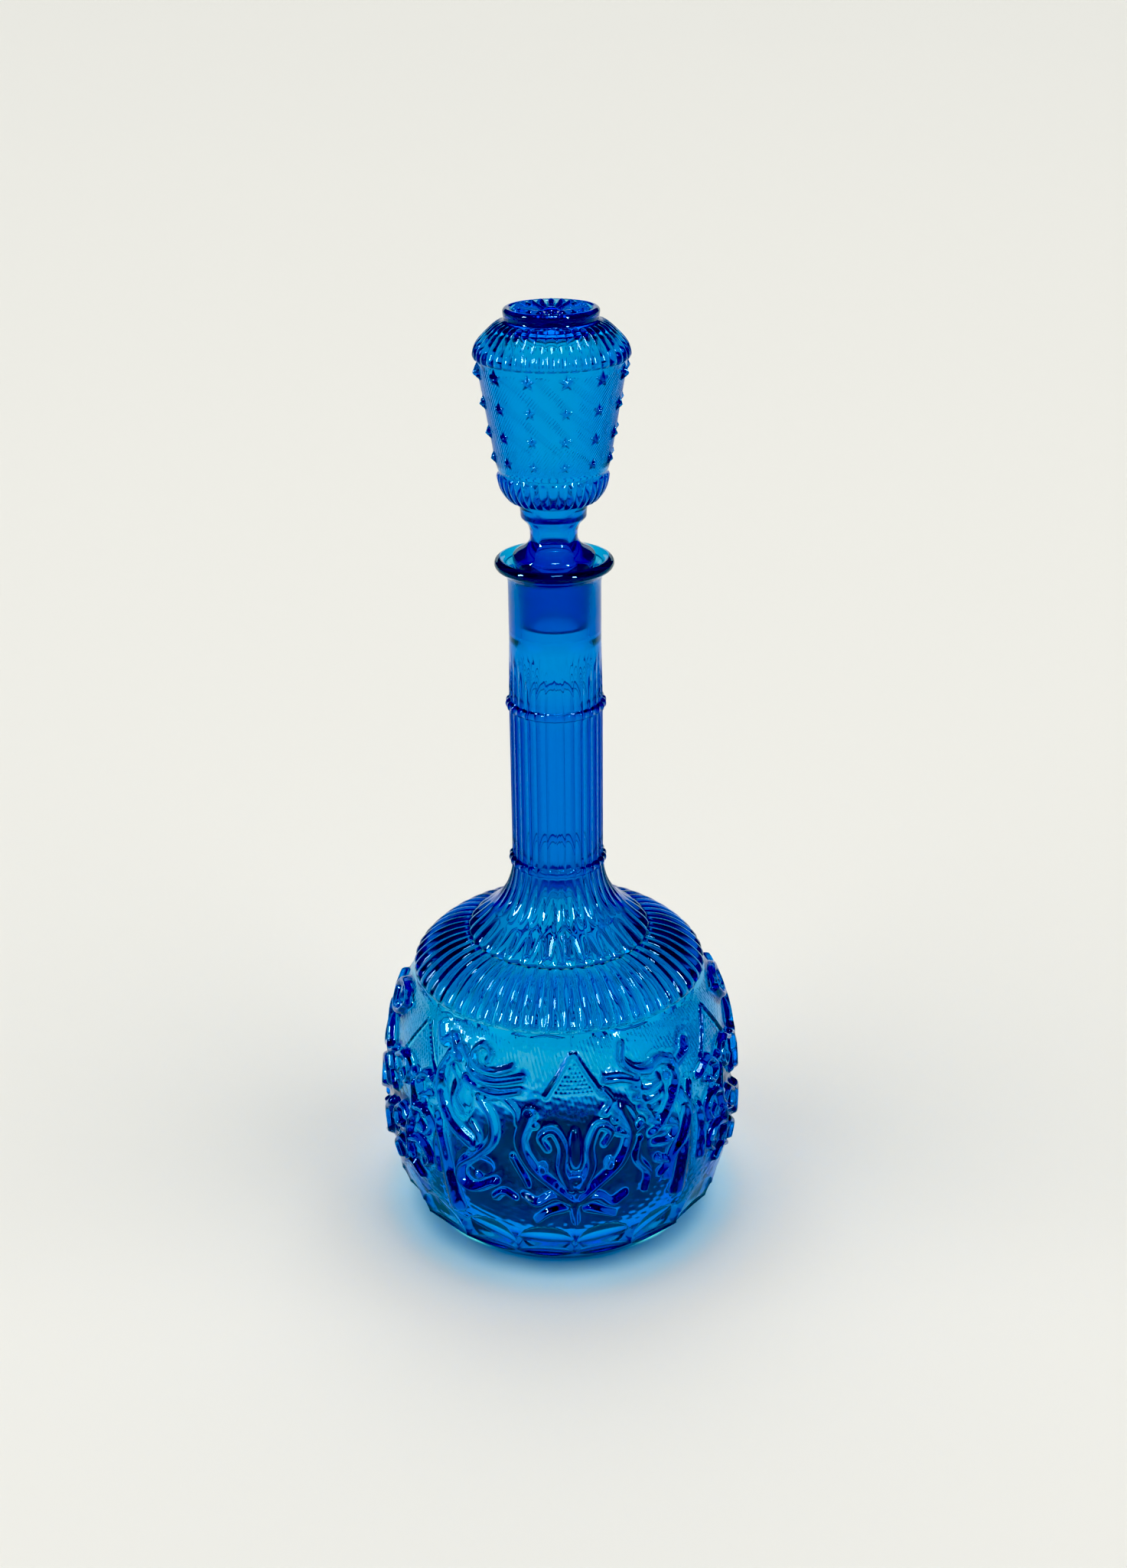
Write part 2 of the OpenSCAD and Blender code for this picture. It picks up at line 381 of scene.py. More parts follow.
LEAVES = {
    "strokes": [
        ([(-15.5, 73), (-18.5, 63), (-15, 54), (-8.5, 47), (-1, 40)], 2.3, 2.1, 1.3),
        ([(15.5, 74), (19, 64), (15.5, 54), (8.5, 47), (1, 40)], 2.3, 2.1, 1.3),
        ([(-1.6, 45), (-4.4, 53), (-4.2, 61), (-7.5, 67.5), (-11.5, 65), (-9.4, 60.5)], 1.8, 2.0, 1.1),
        ([(1.6, 45), (4.8, 53), (4.8, 61), (8, 68.5), (12.2, 66), (10, 61.5)], 1.8, 2.0, 1.1),
        ([(-1, 39), (-7, 41.5), (-13, 38), (-17.5, 41)], 2.0, 1.7, 0.9),
        ([(1, 39), (7, 40.5), (12, 36.6), (17, 39.5)], 2.0, 1.7, 0.9),
        ([(-4, 36), (-9, 34), (-13, 30)], 1.8, 1.5, 0.9),
        ([(4, 35.5), (8.5, 33.5), (13, 31)], 1.8, 1.5, 0.9),
        ([(0, 42), (-0.5, 36), (0, 29)], 2.2, 1.6, 0.9),
        ([(-21, 56), (-17.5, 49), (-16, 45)], 1.3, 1.5, 0.8),
        ([(10.5, 73), (12.8, 77), (10.6, 81)], 1.3, 1.8, 0.9),
    ],
    "bosses": [
        (0, 60, 2.5, 8.5, 1.9), (0, 49, 2.6, 2.6, 1.8), (-11, 52.5, 1.8, 2.8, 1.6),
        (11.4, 53, 1.8, 2.8, 1.6), (-13.6, 69, 1.5, 1.5, 1.7), (14, 69.5, 1.5, 1.5, 1.7),
    ],
}
SCROLL = {
    "strokes": [
        ([(-14, 74), (-8, 77), (-3, 73), (-5, 68), (-9, 70)], 1.5, 1.9, 1.0),
        ([(14, 74), (8, 77), (3, 73), (5, 68), (9, 70)], 1.5, 1.9, 1.0),
        ([(0, 70), (-1.5, 60), (1.5, 50), (0, 40)], 1.7, 1.8, 1.1),
        ([(0, 60), (-6, 63), (-11, 59), (-9, 54), (-5, 56)], 1.4, 1.8, 0.9),
        ([(0, 54), (6, 57), (11, 53), (9, 48), (5, 50)], 1.4, 1.8, 0.9),
        ([(0, 47), (-6, 49), (-11, 44), (-8, 40)], 1.4, 1.7, 0.9),
        ([(0, 42), (7, 43), (12, 38), (9, 34)], 1.4, 1.7, 0.9),
        ([(-15, 62), (-14, 52), (-15, 42)], 1.1, 1.4, 1.8),
        ([(-5, 34), (0, 37), (5, 34)], 1.3, 1.5, 1.3),
    ],
    "bosses": [
        (0, 74, 2.4, 2.4, 1.9), (-6, 66, 1.2, 1.2, 2.0), (15, 60, 1.3, 2.2, 1.6), (15, 47, 1.3, 2.0, 1.5),
    ],
}


def draw(field, figure, az0, mirror=False):
    """Lays a figure with its middle at the azimuth az0."""
    for points, width, high, end_width in figure["strokes"]:
        field.stroke(az0, points, width, high, end_width, mirror)
    for x, z, rx, rz, high in figure["bosses"]:
        field.boss(az0, x, z, rx, rz, high, mirror)


TENT_TOP, TENT_FOOT, TENT_HALF = 96.5, 79.5, 10.0       # heights of its apex and feet, and half its width
STIPPLE_PITCH, STIPPLE_DOT, STIPPLE_HIGH = 1.55, (0.62, 0.6), 0.45


def triangle(field, az0):
    """A tent of two thin bars over a stippled ground."""
    apex = TENT_TOP - 3
    for side in (-1, 1):
        bar = [(side * 0.9, apex), (side * TENT_HALF, TENT_FOOT)]
        field.stroke(az0, bar, 0.7, 1.0, 0.9, swelling=False)
    row_pitch = STIPPLE_PITCH * 0.87
    for row in range(int((TENT_TOP - 6 - TENT_FOOT) / row_pitch)):
        z = TENT_FOOT + 1 + row * row_pitch
        room = TENT_HALF * (apex - z) / (apex - TENT_FOOT) - 1.6
        count = int(room / STIPPLE_PITCH)
        for i in range(-count, count + 1):
            field.boss(az0, (i + 0.5 * (row % 2)) * STIPPLE_PITCH, z, *STIPPLE_DOT, STIPPLE_HIGH, power=1.0)


def blurred(height, columns_wide, rows_wide):
    """A small Gaussian blur, wrapped round the columns."""
    def kernel(sigma):
        k = np.arange(-int(3 * sigma) - 1, int(3 * sigma) + 2)
        w = np.exp(-k * k / (2 * sigma * sigma))
        return k, w / w.sum()
    out = sum(w * np.roll(height, k, axis=1) for k, w in zip(*kernel(columns_wide)))
    padded = np.pad(out, ((len(out), len(out)), (0, 0)), "edge")
    rows = len(out)
    return sum(w * padded[rows + k:2 * rows + k] for k, w in zip(*kernel(rows_wide)))


def relief(az, z):
    """Heights of the figured band for rows at z. A sector has ornament under a tent, then an animal."""
    field = Field(az, z)
    for k in range(SECTORS):
        middle = SEAM_AZ + 360.0 / SECTORS * k
        draw(field, LEAVES if k % 2 == 0 else SCROLL, middle, mirror=k in (2, 5))
        triangle(field, middle)
        draw(field, (BULL, FISH, HORNED)[k % 3], middle + 180.0 / SECTORS, mirror=k in (2, 3, 4))
    return blurred(field.total(), 0.8, 0.7)


def grain(az, z):
    """The leathery unevenness of the moulded ground between the figures, from -1 to 1."""
    a = np.radians(az)
    return (
        np.sin(61 * a + 1.9 * z + 1.3 * np.sin(17 * a - 0.5 * z))
        + np.sin(83 * a - 1.4 * z + 1.7 * np.sin(11 * a + 0.37 * z))
        + np.sin(37 * a + 2.6 * z + 1.1 * np.sin(23 * a + 0.8 * z))
    ) / 3


def hatch(az, z, pitch, slope, radius):
    """Fine slanting lines, as a wave from 0 to 1."""
    x = np.radians(az) * radius
    return 0.5 + 0.5 * np.cos(2 * math.pi * (x + slope * z) / pitch)


# ---------------------------------------------------------------------------
# The bottle
# ---------------------------------------------------------------------------

BODY_COLUMNS, NECK_COLUMNS, INNER_COLUMNS = 1080, 540, 270
BASE_R = 65.4           # belly radius under the relief
PUSH_UP = 4.0
FOOT_RING = (46, 0.1)
HEEL_LOW, HEEL_HIGH = (53.6, 5.2), (60.2, 11.6)         # ends of the slope that the thumbprints are cut in
BELLY_LOW, BELLY, CHEST = (63.4, 23), (BASE_R - 0.7, 55), (60.2, 83.5)
SHOULDER_Z = 101.0
RIB_CREST = (42, 111)
COLLAR_Z = 114.8
COLLAR_TOP = (30.8, 117.2)
BEADS, BEAD_HALF, BEAD_HIGH = (143.4, 203.3), 1.7, 1.25
FLUTE_R, FLUTE_DEEP = 16.5, 0.55
NECK_R = 16.0
BORE_R = 11.9
SOCKET_TOP, SOCKET_BOTTOM = 250.0, 229.5
SOCKET_R, SOCKET_TAPER = 13.0, 0.055
# The inner wall's corners, from the neck down
INNER_COLLAR, INNER_SHOULDER, INNER_BELLY = (34, 111.2), (53.4, 96.6), (63.0, 56)
INNER_HEEL, INNER_FOOT = (59.2, 20), (46, 6.9)
INNER_SHARE = 0.15      # how much of the relief the blown inner wall follows
OFF_CENTRE = 0.35       # how much thinner the belly's wall is on the left than in the middle
SEAM_HIGH, SEAM_HALF = 0.18, 0.45
HATCH_HIGH, GRAIN_HIGH = 0.08, 0.05
BODY_RIPPLE, NECK_RIPPLE, STEM_RIPPLE = 0.2, 0.06, 0.05


def foot_and_body(o):
    o.add("base", line((0, PUSH_UP), (28, PUSH_UP - 1), (41, 2.4)), 3.0, INNER_COLUMNS)
    ring = chained(
        curve((41, 2.4), (43.5, 2.2), (43.6, 0.2), FOOT_RING),
        curve(FOOT_RING, (49.5, 0.2), (51, 2.4), HEEL_LOW),
    )
    o.add("base", ring, 0.9, NECK_COLUMNS)
    heel = chained(line(HEEL_LOW, HEEL_HIGH), curve(HEEL_HIGH, (61.8, 13.0), (62.6, 16), BELLY_LOW))
    o.add("petals", heel, 0.4, BODY_COLUMNS)
    o.add("relief", curve(BELLY_LOW, (64.9, 31), (BASE_R + 0.4, 44), BELLY), 0.5, BODY_COLUMNS)
    o.add("relief", curve(BELLY, (63.8, 65), (62.4, 75), CHEST), 0.45, BODY_COLUMNS)
    o.add("relief", curve(CHEST, (58.6, 89), (55.8, 95), (53.2, 100.2)), 0.45, BODY_COLUMNS)


def shoulder_and_neck(o):
    ribs = chained(
        curve((53.2, 100.2), (51.5, 104), (47, 108.3), RIB_CREST),
        curve(RIB_CREST, (39, 112.6), (36, 113.2), (32.6, 113.9)),
    )
    o.add("ribs", ribs, 0.6, BODY_COLUMNS)
    flare = chained(
        curve((32.6, 114.0), (32.6, 115.4), (31.8, 116.0), COLLAR_TOP),
        curve(COLLAR_TOP, (25.5, 122.5), (FLUTE_R + 0.9, 128), (FLUTE_R, BEADS[0] - 2)),
    )
    o.add("flare", flare, 0.7, NECK_COLUMNS)
    levels = (BEADS[0] - 2, BEADS[0] + 2, BEADS[1] - 2, BEADS[1] + 2, 226)
    for low, high, step in zip(levels[:-1], levels[1:], (0.3, 3.0, 0.3, 0.9)):
        top_r = FLUTE_R if high < 220 else NECK_R
        o.add("neck", line((FLUTE_R, low), (top_r, high)), step, NECK_COLUMNS)
    o.add("neck", line((NECK_R, 226), (NECK_R, 246)), 4.0, NECK_COLUMNS)


def lip_and_socket(o):
    roll = arc((18.5, 254.1), 1.95, -60, 170, 24)
    o.add("lip", np.vstack([curve((NECK_R, 246), (NECK_R, 250), (16.8, 251), (18.9, 252.2)), roll]), 0.45,
          NECK_COLUMNS)
    mouth = curve((16.6, 254.4), (15.6, 252.4), (SOCKET_R + 0.1, 252.6), (SOCKET_R, SOCKET_TOP))
    o.add("lip", mouth, 0.5, NECK_COLUMNS)
    bottom_r = SOCKET_R - SOCKET_TAPER * (SOCKET_TOP - SOCKET_BOTTOM)
    o.add("ground", line((SOCKET_R, SOCKET_TOP), (bottom_r, SOCKET_BOTTOM)), 1.0, INNER_COLUMNS)
    step = curve((bottom_r, SOCKET_BOTTOM), (bottom_r, 227.5), (BORE_R + 1, 227), (BORE_R + 1, 222))
    o.add("bore", step, 0.8, INNER_COLUMNS)


def inner_wall(o):
    neck = line((BORE_R + 1, 222), (BORE_R + 1, 208), (BORE_R, 196), (BORE_R, BEADS[0]))
    o.add("bore", neck, 4.0, INNER_COLUMNS)
    shoulder = chained(
        curve((BORE_R, BEADS[0]), (BORE_R + 0.6, 125), (23.5, 118), INNER_COLLAR),
        curve(INNER_COLLAR, (42, 107.8), (49.6, 104.0), INNER_SHOULDER),
    )
    o.add("bore", shoulder, 1.3, INNER_COLUMNS)
    body = chained(
        curve(INNER_SHOULDER, (59.9, 85), (63.2, 70), INNER_BELLY),
        curve(INNER_BELLY, (62.9, 42), (61.8, 29), INNER_HEEL),
        curve(INNER_HEEL, (56.2, 11), (53.5, 7.2), INNER_FOOT),
    )
    o.add("bore", body, 1.4, INNER_COLUMNS)
    o.add("bore", line(INNER_FOOT, (30, 6.6), (0, 7.8)), 4.0, INNER_COLUMNS)


def bottle_outline():
    """From the middle of the underside, up the outside, over the lip and down the inside."""
    o = Outline()
    foot_and_body(o)
    shoulder_and_neck(o)
    lip_and_socket(o)
    inner_wall(o)
    return o.finish()


def petal_scoops(az, z):
    """Thumbprints cut into the lower edge, meeting in sharp downward points."""
    x = wrapped(az - SEAM_AZ - 180.0 / PETALS, 360.0 / PETALS) * math.radians(1) * 60.0
    middle, wide, up, down, deep = 14.0, 10.9, 12.0, 7.0, 2.5
    tall = up if z > middle else down
    return -deep * crown(np.hypot(x / wide, (z - middle) / tall), 0.5)


def flutes(az, z, deep):
    """Round-bottomed flutes with sharp ridges between, that fade out up the neck."""
    x = wrapped(az - SEAM_AZ, 360.0 / FLUTES) * FLUTES / 180.0
    fade = 1 - smooth(212, 224, z + 4 * x * x)
    return -deep * (1 - x * x) * fade


def ridge_start(above, run):
    """Rises from 0 to 1 in a quarter circle over the run, as a rib's rounded end does."""
    return math.sqrt(max(0.0, 1 - max(0.0, 1 - above / run) ** 2))


def seam_ridge(az, r):
    """The fine ridge of the mould seam, front and back."""
    away = abs(wrapped(az - SEAM_AZ, 180.0)) * math.radians(1) * r
    return SEAM_HIGH * np.maximum(1 - (away / SEAM_HALF) ** 2, 0)


def body_ground(h, az, z):
    """The figured band's relief h with fine hatching and grain where it is flat."""
    ground_share = np.exp(-(h / 0.5) ** 2) * (1 - smooth(97, 99, z))
    h = h + HATCH_HIGH * hatch(az, z, 1.5, 0.35, 60.0) * smooth(60, 84, z) * ground_share
    h = h + GRAIN_HIGH * grain(az, z) * ground_share
    return np.where(z > 99.4, np.maximum(h, 0), h)


def shoulder_ribs(az, z):
    up = z - SHOULDER_Z
    share = ridge_start(up + 1.0, 2.8) * (1 - 0.35 * up / 12.0)
    return gadroon(az, SHOULDER_RIBS, SEAM_AZ, 0.65) * 1.4 * share


def flare_lobes(az, z):
    """Rounded lobes over the collar that turn into the neck's flutes."""
    share = 1 - smooth(COLLAR_Z, COLLAR_Z + 16, z)
    return 0.9 * gadroon(az, FLUTES, SEAM_AZ, 0.9) * share + flutes(az, z, FLUTE_DEEP) * (1 - share)


def bead(z, middle):
    return BEAD_HIGH * math.sqrt(max(0.0, 1 - ((z - middle) / BEAD_HALF) ** 2))


def bottle_heights(outline):
    """The height of each row's points over the outline."""
    heights = [0.0] * len(outline.points)
    z_all = outline.points[:, 1]
    rows = np.where(outline.zones == "relief")[0]
    figured = relief(azimuths(BODY_COLUMNS), z_all[rows])
    for row, figures in zip(rows, figured):
        heights[row] = figures
    within_z = z_all[rows]
    within = blurred(figured, 6, 5)[:, ::BODY_COLUMNS // INNER_COLUMNS]
    for row, zone in enumerate(outline.zones):
        az = azimuths(outline.columns[row])
        r, z = outline.points[row]
        h = heights[row]
        if zone in ("relief", "petals") or (zone == "base" and r > 44):
            h = h + petal_scoops(az, z)
        if zone == "relief":
            h = body_ground(h, az, z)
        if zone == "ribs":
            h = h + shoulder_ribs(az, z)
        if zone == "flare":
            h = h + flare_lobes(az, z)
        if zone == "neck":
            h = h + flutes(az, z, FLUTE_DEEP) + bead(z, BEADS[0]) + bead(z, BEADS[1])
        if zone in ("relief", "petals", "ribs", "flare", "neck"):
            h = h + seam_ridge(az, r)
        if zone == "bore":
            h = h + (BODY_RIPPLE * ripple(az, z) if z < 80 else NECK_RIPPLE * ripple(az, z, 2))
            h = h + OFF_CENTRE * np.sin(np.radians(az)) * smooth(12, 30, z) * (1 - smooth(98, 112, z))
            if 20 < z < 100:
                h = h - INNER_SHARE * within[np.argmin(abs(within_z - z))]
        heights[row] = h
    return heights


def build_bottle(material):
    outline = bottle_outline()
    rings = rings_of(outline, bottle_heights(outline))
    ground = (outline.zones == "ground").astype(float)
    return solid("bottle_glass", rings, ground, material)


# ---------------------------------------------------------------------------
# The stopper
# ---------------------------------------------------------------------------

HEAD_COLUMNS, CUP_COLUMNS, STEM_COLUMNS = 1080, 540, 360
TOP_Z, DISC_R, DISC_Z = 340.0, 15.8, 335.6
PEG_BOTTOM, PEG_GAP = 232.5, 0.15
PEG_R = SOCKET_R - PEG_GAP
BLOW_R = 8.2            # the hollow's radius in the peg
STEM_HOLLOW, BAND_HOLLOW = (4.8, 265.5), (8.4, 274.0)
BULGE_HOLLOW, EAVES_HOLLOW, TOP_HOLLOW = (15.9, 286.6), (22.5, 325.4), (11, 333.4)
FLANGE, STEM, BAND, EAVES = (14.2, 256.2), (8.1, 262.6), (10.6, 269.8), (21.4, 331.6)
STAR_ROWS = ((320.0, 3.2), (309.8, 2.6), (300.1, 2.5), (291.6, 2.35))    # height, radius
STAR_COLUMNS, STAR_AZ, STAR_HIGH = 12, 11.4, 0.64
LINES_HIGH = 0.13       # of the fine slanting lines between the stars
ROSETTE_Z = TOP_Z - 1.9
LOWER_RIBS, UPPER_RIBS, CUPS = 36, 42, 20


def hollow_and_peg(o):
    head = chained(
        line((0, TOP_HOLLOW[1]), TOP_HOLLOW),
        curve(TOP_HOLLOW, (16.5, 333.2), (22.8, 331.0), EAVES_HOLLOW),
        curve(EAVES_HOLLOW, (21.4, 318), (17.8, 300), BULGE_HOLLOW),
        curve(BULGE_HOLLOW, (15.9, 279.0), (9.0, 278.2), BAND_HOLLOW),
        curve(BAND_HOLLOW, (7.6, 269.6), (4.9, 270), STEM_HOLLOW),
    )
    o.add("hollow", head, 1.0, STEM_COLUMNS)
    peg = chained(
        curve(STEM_HOLLOW, (4.6, 258), (BLOW_R, 256), (BLOW_R, 250)),
        line((BLOW_R, 250), (BLOW_R, PEG_BOTTOM)),
    )
    o.add("hollow", peg, 1.0, STEM_COLUMNS)
    bottom_r = PEG_R - SOCKET_TAPER * (SOCKET_TOP - PEG_BOTTOM)
    end = line((BLOW_R, PEG_BOTTOM), (bottom_r - 0.6, PEG_BOTTOM), (bottom_r, PEG_BOTTOM + 0.6))
    o.add("peg_end", end, 0.8, STEM_COLUMNS)
    o.add("ground", line((bottom_r, PEG_BOTTOM + 0.6), (PEG_R, SOCKET_TOP)), 1.0, STEM_COLUMNS)


def stopper_outside(o):
    stem = chained(
        curve((PEG_R, SOCKET_TOP + 0.3), (12.6, 252.4), (14.1, 253.6), FLANGE),
        curve(FLANGE, (14.2, 259), (9.6, 258.4), STEM),
        curve(STEM, (7.9, 266), (8.2, 267.6), BAND),
        curve(BAND, (11.5, 270.5), (11.1, 271.2), (11.2, 271.8)),
    )
    o.add("stem", stem, 0.45, STEM_COLUMNS)
    o.add("stem", line((11.2, 271.8), (11.5, 275.0)), 0.8, STEM_COLUMNS)
    o.add("bulge", curve((11.7, 275.2), (14.6, 276.4), (18.4, 280.0), (18.2, 286.6)), 0.32, HEAD_COLUMNS)
    o.add("stars", line((18.7, 287.4), (24.8, 323.4)), 0.3, HEAD_COLUMNS)
    o.add("eaves", curve((24.8, 323.7), (25.3, 324.6), (24.9, 328.4), EAVES), 0.3, HEAD_COLUMNS)
    o.add("eaves", curve(EAVES, (19.8, 333.2), (17.9, 334.8), (DISC_R, DISC_Z)), 0.45, HEAD_COLUMNS)


def top_disc(o):
    side = line((DISC_R - 0.3, DISC_Z + 0.3), (DISC_R, TOP_Z - 1.9))
    edge = arc((DISC_R - 1.2, TOP_Z - 1.6), 1.2, 0, 90, 8)
    dish = curve((DISC_R - 1.9, TOP_Z - 0.45), (DISC_R - 2.5, TOP_Z - 0.6), (DISC_R - 2.5, ROSETTE_Z),
                 (DISC_R - 2.9, ROSETTE_Z))
    o.add("disc", np.vstack([side, edge, dish]), 0.4, CUP_COLUMNS)
    o.add("rosette", line((DISC_R - 3, ROSETTE_Z), (0.6, ROSETTE_Z), (0, ROSETTE_Z)), 0.25, CUP_COLUMNS)


def stopper_outline():
    """From the top of the hollow, down the inside, round the peg's end and up the outside to the disc."""
    o = Outline()
    hollow_and_peg(o)
    stopper_outside(o)
    top_disc(o)
    return o.finish()


def star(x, z, size):
    """A five-pointed pyramid star, 1 at its middle."""
    rho = np.hypot(x, z) / size
    theta = np.degrees(np.arctan2(x, z))
    from_point = np.radians(abs(wrapped(theta, 72.0)))
    inner = 0.42
    cut = inner * math.sin(math.radians(36))
    lean = math.atan2(cut, 1 - inner * math.cos(math.radians(36)))
    edge = math.sin(lean) / np.sin(math.pi - lean - from_point)
    return np.maximum(1 - rho / edge, 0)


def star_field(az, z, r):
    """Rows of five-pointed stars, one above another in columns."""
    x = wrapped(az - STAR_AZ, 360.0 / STAR_COLUMNS) * math.radians(1) * r
    h = np.zeros_like(x)
    for star_z, size in STAR_ROWS:
        if abs(z - star_z) < size:
            h = np.maximum(h, STAR_HIGH * size * star(x, z - star_z, size) ** 0.85)
    return h


def rosette_height(az, r):
    """Teardrop cups round a boss, with their rounded ends by the rim."""
    boss, inner, full, outer = 2.6, 3.4, 11.0, 12.75
    if r < boss:
        return 1.6 * math.sqrt(max(0.0, 1 - (r / boss) ** 2)) + 0 * az
    end = math.sqrt(max(0.0, 1 - max(0.0, (r - full) / (outer - full)) ** 2))
    half = 0.92 * math.pi * r / CUPS * end
    if r < inner or half < 0.05:
        return 0 * az
    across = abs(wrapped(az, 360.0 / CUPS)) * math.radians(1) * r / half
    rise = 0.5 + 1.7 * (min(r, full) - inner) / (full - inner)
    return rise * end * crown(across, 0.5)


def lower_ribs(az, z):
    return gadroon(az, LOWER_RIBS, 0, 0.7) * 0.8 * smooth(275.2, 277.2, z) * (1 - smooth(284.4, 286.4, z))


def upper_ribs(az, z):
    fading = (1 - 0.6 * smooth(325, 332, z)) * (1 - smooth(334.4, 335.5, z))
    return gadroon(az, UPPER_RIBS, 0, 0.7) * ridge_start(z - 323.5, 1.6) * fading


def starred_side(az, z, r):
    """Stars on fine slanting lines."""
    line_share = smooth(288, 289.5, z) * (1 - smooth(320.5, 322, z))
    return star_field(az, z, r) + LINES_HIGH * hatch(az, z, 1.15, -0.75, 22.0) * line_share


def stopper_heights(outline):
    """The height of each row's points over the outline."""
    heights = []
    for (r, z), zone, columns in zip(outline.points, outline.zones, outline.columns):
        az = azimuths(columns)
        h = 0 * az
        if zone == "bulge":
            h = lower_ribs(az, z)
        if zone == "stars":
            h = starred_side(az, z, r)
        if zone == "eaves":
            h = upper_ribs(az, z)
        if zone == "rosette":
            h = rosette_height(az, r)
        if zone in ("stem", "hollow"):
            h = STEM_RIPPLE * ripple(az, z, 1)
        heights.append(h)
    return heights


def build_stopper(material):
    outline = stopper_outline()
    rings = rings_of(outline, stopper_heights(outline))
    ground = ((outline.zones == "ground") | (outline.zones == "peg_end")).astype(float)
    return solid("stopper_glass", rings, ground, material)


# ---------------------------------------------------------------------------
# Materials
# ---------------------------------------------------------------------------

def new_material(name):
    material = bpy.data.materials.new(name)
    material.use_nodes = True
    nodes, links = material.node_tree.nodes, material.node_tree.links
    nodes.clear()
    out = nodes.new("ShaderNodeOutputMaterial")
    shader = nodes.new("ShaderNodeBsdfPrincipled")
    links.new(shader.outputs[0], out.inputs["Surface"])
    return material, nodes, links, out, shader


def blue_glass(name):
    """Clear azure glass that darkens with depth, frosted where it is ground."""
    material, nodes, links, out, shader = new_material(name)
    shader.inputs["Base Color"].default_value = (0.85, 0.97, 1.0, 1)
    shader.inputs["Transmission Weight"].default_value = 1.0
    shader.inputs["IOR"].default_value = 1.5
    shader.inputs["Specular IOR Level"].default_value = 0.3
    shader.inputs["Specular Tint"].default_value = (0.3, 0.55, 1.0, 1)
    absorb = nodes.new("ShaderNodeVolumeAbsorption")
    absorb.inputs["Color"].default_value = (0.0, 0.70, 0.948, 1)
    absorb.inputs["Density"].default_value = 600.0
    links.new(absorb.outputs[0], out.inputs["Volume"])
    mask = nodes.new("ShaderNodeAttribute")
    mask.attribute_name = "ground"
    rough = nodes.new("ShaderNodeMapRange")
    rough.inputs["To Min"].default_value = 0.0
    rough.inputs["To Max"].default_value = 0.30
    links.new(mask.outputs["Fac"], rough.inputs["Value"])
    links.new(rough.outputs["Result"], shader.inputs["Roughness"])
    return material


FLOOR_SPAN = 160.0      # radius in mm that the ramps below cover
# Ramps of (radius in mm, colour). The foot's painted shade and the painted halo are centred on the foot.
# The painted shade darkens the paper under the foot and tints it blue round it. The halo and the gleam are
# painted blue light that the floor gives off as emission. The gleam under the heel lies where a viewer in
# front looks through the thumbprints, and is kept to its room under the glass.
FOOT_PAINTED_SHADE = (
    (20, (0.03, 0.03, 0.03)), (38, (0.08, 0.08, 0.08)),
    (52, (0.5, 0.8, 0.95)), (62, (0.88, 0.98, 1)), (74, (1, 1, 1)),
)
PAINTED_HALO = ((51, (0, 0, 0)), (60, (0, 0.09, 0.15)), (72, (0, 0.03, 0.05)), (92, (0, 0, 0)))
GLEAM_CENTRE = (0.0, 17.0)
GLEAM = ((50.5, (0, 0, 0)), (53, (0.15, 1.1, 0.95)), (62, (0.15, 1.1, 0.95)), (64, (0, 0, 0)))
GLEAM_ROOM = ((48, (0, 0, 0)), (51, (1, 1, 1)))


